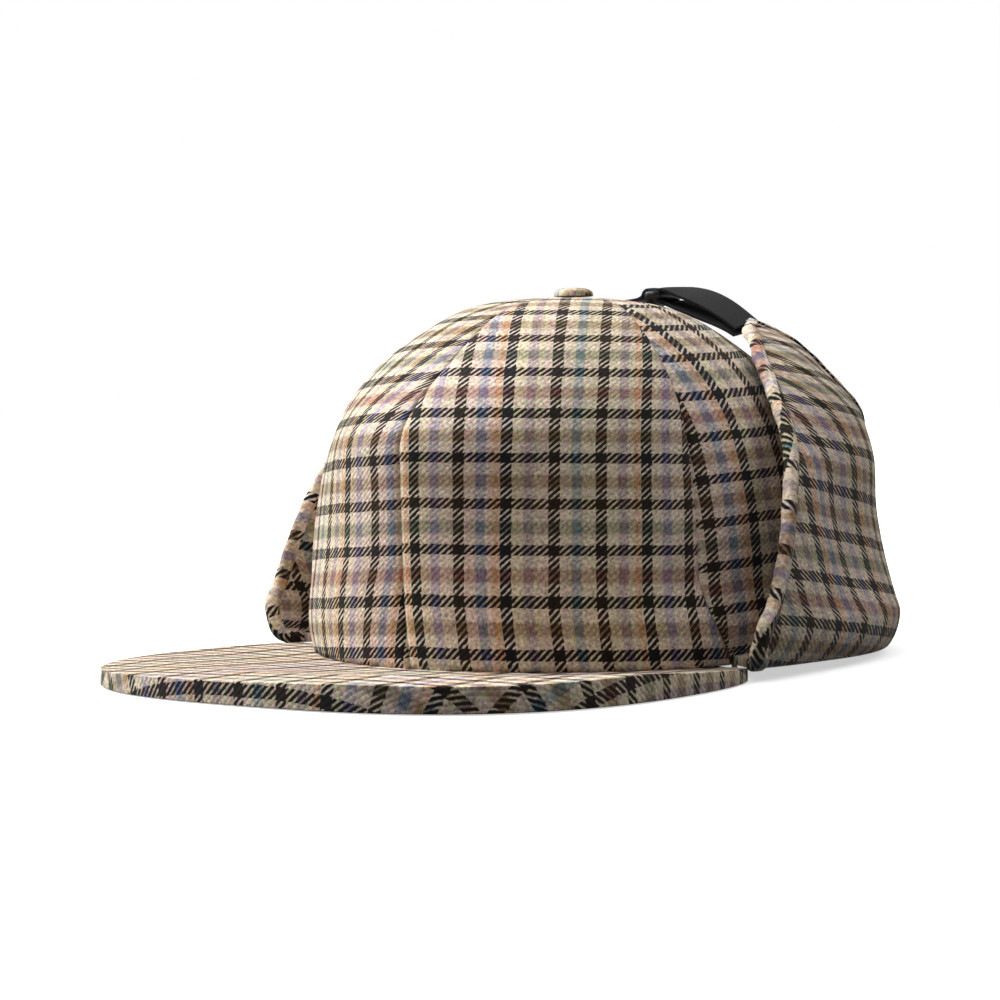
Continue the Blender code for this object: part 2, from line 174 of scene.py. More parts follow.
# rise, side, front: the crown from its lower edge to the hole under the button
CROWN_PROFILE = (
    (0.000, 1.000, 1.000),
    (0.130, 0.998, 0.995),
    (0.285, 0.988, 1.004),
    (0.480, 0.953, 1.011),
    (0.585, 0.917, 1.010),
    (0.660, 0.874, 0.952),
    (0.727, 0.817, 0.857),
    (0.790, 0.745, 0.750),
    (0.845, 0.664, 0.655),
    (0.923, 0.512, 0.500),
    (0.970, 0.376, 0.340),
    (0.992, 0.215, 0.190),
    (1.000, 0.000, 0.000),
)

# rise, out, spread, lean, flare: the earflap from the crown's seam, round the fold and up
FLAP_PROFILE = (
    (0.000, 0.00, 1.000, 0.00, 0.0),
    (0.000, 0.55, 0.970, -0.05, 0.1),
    (0.000, 1.00, FLAP_FLOOR_SPREAD, -0.08, 0.3),
    (0.014, 1.00, 0.960, -0.09, 0.5),
    (0.060, 1.00, 0.984, -0.10, 0.5),
    (0.120, 1.00, FLAP_WIDEST_SPREAD, -0.08, 0.6),
    (0.180, 1.00, 0.975, -0.03, 0.8),
    (0.290, 1.00, 0.948, 0.04, 1.0),
    (0.430, 1.00, 0.925, 0.12, 0.9),
    (0.568, 1.00, 0.919, 0.21, 0.3),
    (0.663, 1.00, 0.896, 0.30, -0.3),
    (0.729, 1.00, 0.869, 0.37, -0.7),
    (0.806, 1.00, 0.807, 0.47, -0.9),
    (0.926, 1.00, 0.686, 0.73, -1.2),
    (1.000, 1.00, 0.539, 1.00, -1.4),
)

# foot, head, rise: the earflap's upper edge, from its front hem to the middle of the nape
FLAP_EDGE = (
    (70.0, 110.0, 0.960),
    (84.0, 119.0, 0.985),
    (96.0, 129.0, 0.995),
    (108.0, 128.0, 0.915),
    (122.0, 130.0, 0.800),
    (136.0, 139.0, 0.690),
    (150.0, 151.0, 0.610),
    (165.0, 165.0, 0.570),
    (180.0, 180.0, 0.560),
)


def read_table(rows, way):
    """Read all columns of a table at way, 0 on its first row and 1 on its last, on a smooth curve."""
    last = len(rows) - 1
    position = min(max(way, 0.0), 1.0) * last
    index = min(int(position), last - 1)
    t = position - index
    before, here, there, after = (rows[min(max(index + step, 0), last)] for step in (-1, 0, 1, 2))
    values = []
    for a, b, c, d in zip(before, here, there, after):
        values.append(
            (2 * t**3 - 3 * t**2 + 1) * b
            + (t**3 - 2 * t**2 + t) * (c - a) / 2
            + (3 * t**2 - 2 * t**3) * c
            + (t**3 - t**2) * (d - b) / 2
        )
    return values


def find_way(rows, column, target, low=0.0, high=1.0):
    """Where along a table a column reaches a value, for a column that only rises or only falls."""
    rising = read_table(rows, high)[column] > read_table(rows, low)[column]
    for _ in range(30):
        middle = (low + high) / 2
        if (read_table(rows, middle)[column] < target) == rising:
            low = middle
        else:
            high = middle
    return (low + high) / 2


def oval_radius(angle, half_width, front, rear, squareness):
    """Distance from the axis to a rounded oval outline, in the direction of an angle."""
    turn = math.radians(angle)
    across = abs(math.sin(turn)) / half_width
    along = abs(math.cos(turn)) / (front if math.cos(turn) > 0 else rear)
    return (across**squareness + along**squareness) ** (-1 / squareness)


def rest_lift(y):
    """How far the leaning cap stands off the floor at y."""
    return REST_SLOPE * (REST_Y - y)


def round_axis(angle, radius, height):
    """A point of the leaning cap, given by its angle and distance round the crown's axis."""
    turn = math.radians(angle)
    y = AXIS_Y - radius * math.cos(turn)
    return Vector((radius * math.sin(turn), y, height + rest_lift(y)))


def crown_outline(angle):
    """Radius of the crown's outline."""
    return oval_radius(angle, CROWN_HALF_WIDTH, CROWN_FRONT_REACH, CROWN_REAR_REACH, CROWN_SQUARENESS)


def crown_radius(angle, way):
    """Radius and height of the crown's outer face, from its lower edge to its top."""
    rise, side, front = read_table(CROWN_PROFILE, way)
    fade = min(abs(angle) / FRONT_FADE_ANGLE, 1.0)
    frontness = max(0.0, math.cos(math.radians(90 * fade))) ** FRONT_FADE_POWER
    height = rise * CROWN_HEIGHT
    spread = side + (front - side) * frontness
    corner = math.exp(-(((abs(angle) - SIDE_SEAM_ANGLE - CORNER_BEHIND_SEAM) / CORNER_SPREAD) ** 2))
    above_hold = max(0.0, height - CORNER_HOLD) / (CORNER_RISE - CORNER_HOLD)
    low = max(0.0, 1 - above_hold**2) ** 2
    return crown_outline(angle) * spread + CORNER_PUFF * corner * low, height


def side_seam(height):
    """Angle of the seam between front and side panel, which sweeps back at its foot."""
    return SIDE_SEAM_ANGLE + CORNER_SWEEP * max(0.0, 1 - height / CORNER_RISE) ** 1.5


def foot_on_brim(angle):
    """Height of the crown's lower edge where it stands on the brim."""
    y = AXIS_Y - crown_outline(angle) * math.cos(math.radians(angle))
    return BRIM_SEAT + SEAT_GAP - rest_lift(y)


def foot_on_flap(angle):
    """Height of the crown's lower edge where it stands on the earflap, or hangs in the gap before it."""
    if abs(angle) < FLAP_EDGE[0][0] - FLAP_SEAM_MARGIN:
        y = AXIS_Y - crown_outline(angle) * math.cos(math.radians(angle))
        return 2 * SEAT_GAP - rest_lift(y)
    return FLAP_CLOTH + SEAT_GAP


def ripple(a, b, seed):
    """A slow, uneven wave between -1 and 1, for cloth that doesn't lie quite smooth."""
    return (
        math.sin(a * 1.7 + b * 0.6 + seed)
        + math.sin(a * 0.8 - b * 1.9 + 2.3 * seed)
        + math.sin(a * 2.9 + b * 2.2 + 4.1 * seed) * 0.5
    ) / 2.5


class Sock:
    """A node's output that is written in sums; an expression on it adds its Math nodes."""

    def __init__(self, tree, socket):
        self.tree = tree
        self.socket = socket

    def node(self, kind, output=0, settings=None, **values):
        """Add a node of a kind, give it its settings, then its sockets' values or links."""
        made = self.tree.nodes.new(kind)
        for name, value in (settings or {}).items():
            if name == "stops":
                ramp = made.color_ramp
                while len(ramp.elements) < len(value):
                    ramp.elements.new(0.5)
                for element, (place, colour) in zip(ramp.elements, value):
                    element.position = place
                    element.color = (*colour, 1.0)
            elif name == "ramp_steps":
                made.color_ramp.interpolation = "CONSTANT" if value else "LINEAR"
            else:
                setattr(made, name, value)
        for name, value in values.items():
            number = name[1:]
            target = made.inputs[int(number) if number.isdigit() else name.replace("_", " ")]
            if isinstance(value, Sock):
                self.tree.links.new(value.socket, target)
            else:
                target.default_value = value
        return Sock(self.tree, made.outputs[output])

    def maths(self, operation, *values, clamp=False):
        """One Math node."""
        settings = {"operation": operation, "use_clamp": clamp}
        numbered = {f"s{index}": value for index, value in enumerate(values)}
        return self.node("ShaderNodeMath", settings=settings, **numbered)

    def __add__(self, other):
        return self.maths("ADD", self, other)

    __radd__ = __add__

    def __sub__(self, other):
        return self.maths("SUBTRACT", self, other)

    def __rsub__(self, other):
        return self.maths("SUBTRACT", other, self)

    def __mul__(self, other):
        return self.maths("MULTIPLY", self, other)

    __rmul__ = __mul__

    def __truediv__(self, other):
        return self.maths("DIVIDE", self, other)

    def fraction(self):
        return self.maths("FRACT", self)

    def floor(self):
        return self.maths("FLOOR", self)

    def above(self, edge, soft):
        """0 below an edge and 1 above it, with a soft step."""
        return self.maths("MULTIPLY_ADD", self, 1 / soft, 0.5 - edge / soft, clamp=True)

    def between(self, low, high, soft):
        """1 between two edges and 0 outside them, with soft steps."""
        return self.above(low, soft) * (1 - self.above(high, soft))

    def sway(self):
        """A wave of triangles: 0 at whole numbers and 1 half way between them."""
        return 1 - self.maths("ABSOLUTE", self.fraction() * 2 - 1)

    def tint(self, under, over):
        """Mix two colours, this being the share of the second."""
        values = {"s0": self, "s6": under, "s7": over}
        return self.node("ShaderNodeMix", output=2, settings={"data_type": "RGBA"}, **values)

    def steps(self, *colours):
        """One of several colours, by equal steps of this value from 0 to 1."""
        stops = [(index / len(colours), colour) for index, colour in enumerate(colours)]
        return self.node("ShaderNodeValToRGB", settings={"ramp_steps": True, "stops": stops}, Fac=self)


def new_finish(name, roughness):
    """A material with its main shader, and a Sock to write its pattern from."""
    finish = bpy.data.materials.new(name)
    finish.use_nodes = True
    tree = finish.node_tree
    shader = tree.nodes["Principled BSDF"]
    shader.inputs["Roughness"].default_value = roughness
    return finish, shader, Sock(tree, None)


def lay_bump(start, shader, height, strength, distance):
    """Give a shader a Bump node that reads a height."""
    bump = start.node("ShaderNodeBump", Height=height, Strength=strength, Distance=distance)
    start.tree.links.new(bump.socket, shader.inputs["Normal"])


# Repeats of the check and steps of the twill, in millimetres, and stripes as shares of a repeat
WARP_REPEAT = 14.95
WEFT_REPEAT = 15.07
WARP_STRIPE = 0.245
WEFT_STRIPE = 0.230
WEFT_BAND = (0.46, 0.74)
TWILL_ACROSS = 2.30
TWILL_UP = 2.08

# Softness of the twill's slanting steps, in the dark stripes and in the pale cloth
DARK_TWILL = 0.34
PALE_TWILL = 2.6

# Colours of the yarns
DARK_BROWN = (0.021, 0.011, 0.005)
DARK_GREEN = (0.006, 0.009, 0.006)
INK = (0.006, 0.006, 0.010)
CREAM = (0.69, 0.585, 0.485)
TAN = (0.60, 0.48, 0.37)
ROSE = (0.62, 0.445, 0.37)
STRAW = (0.61, 0.515, 0.33)
ORANGE = (0.63, 0.33, 0.16)
CAMEL = (0.21, 0.13, 0.07)
CLAY = (0.25, 0.115, 0.09)
SAGE = (0.15, 0.165, 0.115)
SLATE = (0.135, 0.175, 0.30)
LILAC = (0.25, 0.21, 0.33)
TEAL = (0.135, 0.215, 0.235)
MAUVE = (0.28, 0.20, 0.225)

# Warp yarns between the dark stripes: start, end and softness, as shares of a repeat, and colours
WARP_YARNS = (
    (0.27, 0.40, 0.04, (TAN, STRAW, STRAW, ROSE, STRAW)),
    (0.49, 0.70, 0.03, (TEAL, MAUVE, LILAC, SLATE, MAUVE)),
    (0.84, 0.98, 0.03, (STRAW, ORANGE, TAN, ORANGE, ROSE)),
)


def make_wool():
    """Checked twill in wool: warp stripes, weft stripes and coloured yarns between them."""
    finish, shader, start = new_finish("checked wool", 0.92)
    place = start.node("ShaderNodeUVMap", settings={"uv_map": "cloth"})
    parts = start.node("ShaderNodeSeparateXYZ", Vector=place)
    across = parts * 1000
    up = Sock(parts.tree, parts.socket.node.outputs[1]) * 1000
    wobble = start.node("ShaderNodeTexNoise", Vector=place, Scale=90.0, Detail=2.0)
    jitter = start.node("ShaderNodeTexNoise", Vector=place, Scale=900.0, Detail=2.0) - 0.5
    across = across + (wobble - 0.5) * 0.9
    up = up + (wobble - 0.5) * 0.7
    column = (across + jitter * 0.9) / WARP_REPEAT
    row = (up + jitter * 0.9) / WEFT_REPEAT
    in_column = column.fraction()
    in_row = row.fraction()
    which_column = (column.floor() * 0.2 + 0.05).fraction()
    which_row = (row.floor() * 0.25 + 0.05).fraction()

    warp = which_column.steps(STRAW, STRAW, TAN, ROSE, STRAW)
    for low, high, softness, colours in WARP_YARNS:
        warp = in_column.between(low, high, softness).tint(warp, which_column.steps(*colours))
    dark_warp = in_column.between(0.0, WARP_STRIPE, 0.015)
    warp = dark_warp.tint(warp, which_column.steps(DARK_BROWN, DARK_BROWN, DARK_GREEN, DARK_BROWN, INK))

    band = in_row.between(*WEFT_BAND, 0.08)
    weft = band.tint((*CREAM, 1), which_row.steps(CAMEL, CLAY, SAGE, CAMEL))
    dark_weft = in_row.between(0.0, WEFT_STRIPE, 0.015)
    weft = dark_weft.tint(weft, which_row.steps(INK, DARK_GREEN, INK, DARK_BROWN))

    slant = (across / TWILL_ACROSS - up / TWILL_UP + jitter * 0.35).sway()
    dark = dark_warp.maths("MAXIMUM", dark_warp, dark_weft)
    sharp = (slant + dark_warp * 0.15 - dark_weft * 0.13).above(0.5, DARK_TWILL)
    soft = slant.above(0.5, PALE_TWILL)
    over = soft + dark * (sharp - soft)
    # Painted shade: the pale yarns that cross a dark stripe are darkened a tenth of the way to dark
    # brown, as if the dark yarns beside them shade them
    painted_shade = dark_weft * over + dark_warp * (1 - over)
    cloth = (painted_shade * 0.10).tint(over.tint(weft, warp), (*DARK_BROWN, 1))

    fibre = start.node("ShaderNodeTexNoise", Vector=place, Scale=2600.0, Detail=3.0, Roughness=0.7)
    patch = start.node("ShaderNodeTexNoise", Vector=place, Scale=130.0, Detail=3.0)
    light = (fibre - 0.5) * 1.7 + (patch - 0.5) * 0.6 + jitter * 2.2
    grey = light.maths("MULTIPLY_ADD", light, 0.9, 1.0)
    toned = start.node("ShaderNodeVectorMath", settings={"operation": "SCALE"}, s0=cloth, Scale=grey)
    flecks = start.node("ShaderNodeTexNoise", output=1, Vector=place, Scale=1500.0, Detail=1.0)
    overlay = {"data_type": "RGBA", "blend_type": "OVERLAY"}
    toned = start.node("ShaderNodeMix", output=2, settings=overlay, s0=0.55, s6=toned, s7=flecks)
    haze = (fibre.above(0.60, 0.20) * 0.03).tint(toned, (0.55, 0.48, 0.40, 1))
    start.tree.links.new(haze.socket, shader.inputs["Base Color"])
    shader.inputs["Sheen Weight"].default_value = 0.05
    shader.inputs["Sheen Roughness"].default_value = 0.5
    shader.inputs["Specular IOR Level"].default_value = 0.12
    ribs = slant.maths("SQRT", slant) * 0.7 + fibre * 0.8
    lay_bump(start, shader, ribs, 0.55, 0.00035)
    return finish


def make_webbing():
    """Black twill webbing: fine slanting ribs crossed by fine threads."""
    finish, shader, start = new_finish("black webbing", 0.62)
    place = start.node("ShaderNodeUVMap", settings={"uv_map": "cloth"})
    parts = start.node("ShaderNodeSeparateXYZ", Vector=place)
    along = parts * 1000
    across = Sock(parts.tree, parts.socket.node.outputs[1]) * 1000
    ribs = ((along + across) / 1.15).sway()
    threads = (across / 0.42).sway()
    fibre = start.node("ShaderNodeTexNoise", Vector=place, Scale=3000.0, Detail=2.0)
    tone = ribs * 0.35 + fibre * 0.5
    black = tone.tint((0.0025, 0.0025, 0.003, 1), (0.013, 0.013, 0.014, 1))
    start.tree.links.new(black.socket, shader.inputs["Base Color"])
    shader.inputs["Sheen Weight"].default_value = 0.03
    shader.inputs["Specular IOR Level"].default_value = 0.18
    lay_bump(start, shader, ribs + threads * 0.3 + fibre * 0.2, 0.5, 0.0002)
    return finish


def make_plastic():
    """Black moulded plastic with a faint grain."""
    finish, shader, start = new_finish("black plastic", 0.36)
    place = start.node("ShaderNodeTexCoord", output=3)
    grain = start.node("ShaderNodeTexNoise", Vector=place, Scale=2200.0, Detail=2.0)
    wear = start.node("ShaderNodeTexNoise", Vector=place, Scale=260.0, Detail=3.0)
    black = wear.tint((0.003, 0.003, 0.0035, 1), (0.008, 0.008, 0.009, 1))
    start.tree.links.new(black.socket, shader.inputs["Base Color"])
    rough = wear * 0.16 + 0.36
    shader.inputs["Specular IOR Level"].default_value = 0.3
    start.tree.links.new(rough.socket, shader.inputs["Roughness"])
    lay_bump(start, shader, grain, 0.15, 0.0001)
    return finish


def add_grid(name, columns, rows, place):
    """A grid whose points are moved to place(across, up), both from 0 to 1."""
    bpy.ops.mesh.primitive_grid_add(x_subdivisions=columns, y_subdivisions=rows, size=1)
    sheet = bpy.context.object
    sheet.name = name
    sheet.data.name = name
    for vertex in sheet.data.vertices:
        vertex.co = place(vertex.co.x + 0.5, vertex.co.y + 0.5)
    return sheet


def measure_cloth(sheet, columns, rows, cut, centre_at):
    """Map a grid's cloth in metres: along each row from one upright line, and up from its foot."""
    shift_across, shift_up, ease_across, eases_up, lean, lean_below, climb = cut
    points = [vertex.co.copy() for vertex in sheet.data.vertices]
    width = columns + 1
    places = []
    height = cloth_up = 0.0
    middle_before = None
    for row in range(rows + 1):
        base = row * width
        along = [0.0]
        for column in range(1, width):
            along.append(along[-1] + (points[base + column] - points[base + column - 1]).length)
        spot = centre_at(row) * columns
        whole = min(int(spot), columns - 1)
        start = along[whole] + (along[whole + 1] - along[whole]) * (spot - whole)
        middle = points[base + whole].lerp(points[base + whole + 1], spot - whole)
        if middle_before:
            ease = 1 - DOME_EASE * min(1.0, max(0.0, height - DOME_EASE_START) / DOME_EASE_RUN)
            step = (middle - middle_before).length * ease
            height += step
            cloth_up += step * next((share for below, share in eases_up if height < below), 1.0)
        middle_before = middle
        aside = shift_across - start * ease_across + lean * max(0.0, lean_below - height)
        for distance in along:
            u = distance * ease_across + aside
            places.append((u, cloth_up + shift_up - climb * u))
    write_cloth_map(sheet, lambda index, _face: places[index])


def write_cloth_map(piece, place):
    """Write the cloth's own map, in metres, from a function of a point's number and its face."""
    mesh = piece.data
    layer = mesh.uv_layers.get("cloth") or mesh.uv_layers.new(name="cloth")
    for face in mesh.polygons:
        for corner in face.loop_indices:
            layer.data[corner].uv = place(mesh.loops[corner].vertex_index, face)
    for other in [item.name for item in mesh.uv_layers if item.name != "cloth"]:
        mesh.uv_layers.remove(mesh.uv_layers[other])
    mesh.uv_layers.active = mesh.uv_layers["cloth"]


def measure_cut(sheet, columns, rows):
    """Measure a grid's longest row and longest column; the lengths are not kept and no area is taken."""
    points = [vertex.co for vertex in sheet.data.vertices]
    width = columns + 1

    def run(numbers):
        """Length from point to point along a row or a column."""
        return sum((points[b] - points[a]).length for a, b in zip(numbers, numbers[1:]))

    widest = max(run(range(row * width, (row + 1) * width)) for row in range(rows + 1))
    longest = max(run(range(column, width * (rows + 1), width)) for column in range(width))


def apply_all(piece):
    """Apply the modifiers of a piece in their order."""
    bpy.context.view_layer.objects.active = piece
    for modifier in list(piece.modifiers):
        bpy.ops.object.modifier_apply(modifier=modifier.name)


def thicken(piece, thickness, offset, even=True):
    """Give a sheet its thickness."""
    wall = piece.modifiers.new("Wall", "SOLIDIFY")
    wall.thickness = thickness
    wall.offset = offset
    wall.use_even_offset = even


# An edge that turns by more degrees than this is rounded
SHARP_ANGLE = 50.0


def soften(piece, width, segments):
    """Round a piece's sharp edges."""
    edge = piece.modifiers.new("Edge", "BEVEL")
    edge.width = width
    edge.segments = segments
    edge.limit_method = "ANGLE"
    edge.angle_limit = math.radians(SHARP_ANGLE)


def finish_piece(piece, finish, slot, *nodes):
    """Apply a piece's modifiers, give it its finish and let it stand for its nodes."""
    apply_all(piece)
    piece.data.materials.clear()
    piece.data.materials.append(finish)
    piece.data.shade_smooth()
    piece.select_set(False)
    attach(piece, "root")
    if nodes:
        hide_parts(*nodes)
    return piece


# The camera that took the photograph: degrees, metres from the crown's axis, and pixels
VIEW_ANGLE = 35.38
VIEW_RISE = 2.05
VIEW_ROLL = -0.44
VIEW_DISTANCE = 0.900
VIEW_FOCUS = 2624.28
VIEW_RIGHT = -0.02569
VIEW_HEIGHT = 0.05369
PICTURE = 1000

FLOOR_GLOW = 0.55
ROOM_LIGHT = 0.04

# name, angle to the right of the camera, rise, spread, power
STUDIO_LIGHTS = (
    ("left light", -111.0, 39.0, 42.0, 5.8),
    ("top light", 165.0, 76.0, 60.0, 0.7),
    ("front light", -26.0, 50.0, 50.0, 0.95),
    ("right light", 98.0, 46.0, 50.0, 1.15),
)


def direction_to(turn, rise):
    """The direction of what stands at an angle round the cap, from its front, and at a rise."""
    turn, rise = math.radians(turn), math.radians(rise)
    return Vector((math.sin(turn) * math.cos(rise), -math.cos(turn) * math.cos(rise), math.sin(rise)))


def make_camera():
    """Place the camera where the photograph was taken from."""
    turn = math.radians(VIEW_ANGLE)
    right = Vector((math.cos(turn), math.sin(turn), 0))
    back = direction_to(VIEW_ANGLE, VIEW_RISE)
    target = Vector((0, AXIS_Y, VIEW_HEIGHT)) + right * VIEW_RIGHT
    lens = bpy.data.cameras.new("camera")
    lens.sensor_width = 36
    lens.lens = VIEW_FOCUS / PICTURE * lens.sensor_width
    lens.clip_start = 0.01
    lens.clip_end = 30
    camera = bpy.data.objects.new("camera", lens)
    bpy.context.collection.objects.link(camera)
    camera.matrix_world = back.to_track_quat("Z", "Y").to_matrix().to_4x4()
    camera.location = target + back * VIEW_DISTANCE
    camera.rotation_euler.rotate_axis("Z", math.radians(VIEW_ROLL))
    bpy.context.scene.camera = camera


def make_studio():
    """A plain pale floor, a large soft light from the upper left and weaker ones above and in front."""
    bpy.ops.mesh.primitive_circle_add(vertices=96, radius=30, fill_type="NGON", location=(0, 0, -0.0004))
    floor = bpy.context.object
    floor.name = "floor"
    paper = bpy.data.materials.new("pale floor")
    paper.use_nodes = True
    shader = paper.node_tree.nodes["Principled BSDF"]
    shader.inputs["Base Color"].default_value = (0.80, 0.80, 0.80, 1)
    shader.inputs["Roughness"].default_value = 1.0
    shader.inputs["Specular IOR Level"].default_value = 0.0
    shader.inputs["Emission Color"].default_value = (1, 1, 1, 1)
    shader.inputs["Emission Strength"].default_value = FLOOR_GLOW
    floor.data.materials.append(paper)
    floor.visible_diffuse = False
    floor.select_set(False)

    world = bpy.data.worlds.new("studio")
    bpy.context.scene.world = world
    world.use_nodes = True
    sky = Sock(world.node_tree, None)
    seen = sky.node("ShaderNodeLightPath", output="Is Camera Ray")
    room = sky.node("ShaderNodeBackground", Color=(1, 1, 1, 1), Strength=ROOM_LIGHT)
    paper_white = sky.node("ShaderNodeBackground", Color=(1, 1, 1, 1), Strength=1.0)
    both = sky.node("ShaderNodeMixShader", s0=seen, s1=room, s2=paper_white)
    world.node_tree.links.new(both.socket, world.node_tree.nodes["World Output"].inputs["Surface"])

    for name, turn, rise, spread, power in STUDIO_LIGHTS:
        data = bpy.data.lights.new(name, "SUN")
        data.angle = math.radians(spread)
        data.energy = power
        lamp = bpy.data.objects.new(name, data)
        bpy.context.collection.objects.link(lamp)
        lamp.location = direction_to(turn + VIEW_ANGLE, rise)
        lamp.rotation_euler = lamp.location.to_track_quat("Z", "Y").to_euler()
    bpy.context.scene.view_settings.view_transform = "Standard"


make_camera()
make_studio()
WOOL = make_wool()
BLACK_WEBBING = make_webbing()
BLACK_PLASTIC = make_plastic()


def make_panel(name, first_seam, second_seam, foot, cut, seed):
    """One crown panel: its edges turn in at the seams and its foot is tucked under."""
    columns, rows = PANEL_GRID
    end = find_way(CROWN_PROFILE, 1, TOP_HOLE_RADIUS / CROWN_HALF_WIDTH, 0.8, 1.0)

    def place(across, up):
        way = end * up
        rough_angle = first_seam(0) + (second_seam(0) - first_seam(0)) * across
        foot_height = foot(rough_angle)
        height = max(foot_height, crown_radius(0.0, way)[1]) if up > 0.001 else foot_height
        first = first_seam(height)
        second = second_seam(height)
        angle = first + (second - first) * across
        radius = crown_radius(angle, way)[0]
        width = math.radians(abs(second - first)) * radius
        from_seam = min(across, 1 - across) * width
        radius -= SEAM_DIP * math.exp(-((from_seam / SEAM_DIP_WIDTH) ** 2))
        near_foot = max(0.0, 1 - (height - foot_height) / FOOT_TUCK_HEIGHT)
        radius -= FOOT_TUCK * near_foot**2
        wave = PANEL_WAVE * ripple(across * width / PANEL_WAVE_ACROSS, height / PANEL_WAVE_UP, seed)
        radius += wave * min(1.0, from_seam / PANEL_WAVE_FADE)
        return round_axis(angle, radius, height)

    def upright(row):
        """Where along a row the upright line through the panel's middle lies."""
        height = crown_radius(0.0, end * row / rows)[1]
        first, second = first_seam(height), second_seam(height)
        middle = (first_seam(CROWN_HEIGHT) + second_seam(CROWN_HEIGHT)) / 2
        return (middle - first) / (second - first)

    panel = add_grid(name, columns, rows, place)
    measure_cloth(panel, columns, rows, cut, upright)
    measure_cut(panel, columns, rows)
    thicken(panel, CROWN_CLOTH, -1, even=False)
    return finish_piece(panel, WOOL, "wool", name.replace("wool_", ""))


# Ease of the cloth up a panel: share used below a height
FRONT_EASE = ((0.034, 0.90), (0.075, 1.05))
SIDE_EASE = ((0.5, 1.10),)

# Cut of each panel: shift across and up, ease across and up, lean of the stripes below a height, climb
PANEL_CUTS = {
    "front_left": (0.00267, -0.0030, 1.0, FRONT_EASE, -0.10, 0.020, 0.0),
    "front_right": (0.0060, 0.0011, 1.0, FRONT_EASE, 0.30, 0.035, 0.06),
    "side_left": (0.00067, -0.0035, 0.74, SIDE_EASE, 0.0, 0.0, 0.12),
    "side_right": (0.0090, 0.0, 0.80, SIDE_EASE, 0.0, 0.0, -0.12),
    "back_left": (0.0020, 0.0070, 1.0, (), 0.0, 0.0, 0.0),
    "back_right": (0.0060, 0.0010, 1.0, (), 0.0, 0.0, 0.0),
}


def make_crown():
    """The six panels, three to a side; those on the right have their seams at negative angles."""
    rows = (
        ("front", lambda height: 0.0, side_seam, foot_on_brim, 6.0),
        ("side", side_seam, lambda height: REAR_SEAM_ANGLE, foot_on_flap, 5.0),
        ("back", lambda height: REAR_SEAM_ANGLE, lambda height: 180.0, foot_on_flap, 5.0),
    )
    for place, front_seam, rear_seam, foot, seed in rows:
        left, right = f"{place}_left", f"{place}_right"
        make_panel(f"wool_crown_panel_{left}", front_seam, rear_seam, foot, PANEL_CUTS[left], seed)
        make_panel(
            f"wool_crown_panel_{right}",
            lambda height, seam=rear_seam: -seam(height),
            lambda height, seam=front_seam: -seam(height),
            foot,
            PANEL_CUTS[right],
            seed + 2.0,
        )


make_crown()


def make_button():
    """The covered button: a low dome whose cloth is gathered under its rim."""
    base = CROWN_HEIGHT + rest_lift(AXIS_Y) + SEAT_GAP
    bpy.ops.mesh.primitive_uv_sphere_add(segments=72, ring_count=30, radius=1)
    button = bpy.context.object
    button.name = "wool_crown_button"
    for vertex in button.data.vertices:
        x, y, z = vertex.co
        turn = math.atan2(y, x)
        low = max(0.0, BUTTON_PLEAT_TOP - z)
        pleat = 1 + BUTTON_PLEAT * low * math.sin(BUTTON_PLEATS * turn)
        full = (1 - z**3) ** (1 / 3) / math.sqrt(1 - z**2) if 0 < z < 0.9999 else 1.0
        height = BUTTON_HEIGHT * (BUTTON_RIM + (1 - BUTTON_RIM if z > 0 else BUTTON_UNDER) * z)
        out = BUTTON_RADIUS * full * pleat
        vertex.co = (x * out, y * out + AXIS_Y, base + height)
    points = [vertex.co.copy() for vertex in button.data.vertices]

    def cloth(index, _face):
        point = points[index]
        return point.x * BUTTON_EASE + BUTTON_CUT[0], (point.y - AXIS_Y) * BUTTON_EASE + BUTTON_CUT[1]

    write_cloth_map(button, cloth)
    return finish_piece(button, WOOL, "wool", "crown_button")


make_button()


def brim_angle_at(y):
    """Angle about the brim's own centre at which its outline reaches y."""
    behind = y + BRIM_REACH - BRIM_ROUND_DEPTH
    share = 1 - (abs(behind) / BRIM_ROUND_DEPTH) ** BRIM_SQUARENESS
    return math.degrees(math.atan2(BRIM_HALF_WIDTH * share ** (1 / BRIM_SQUARENESS), -behind))


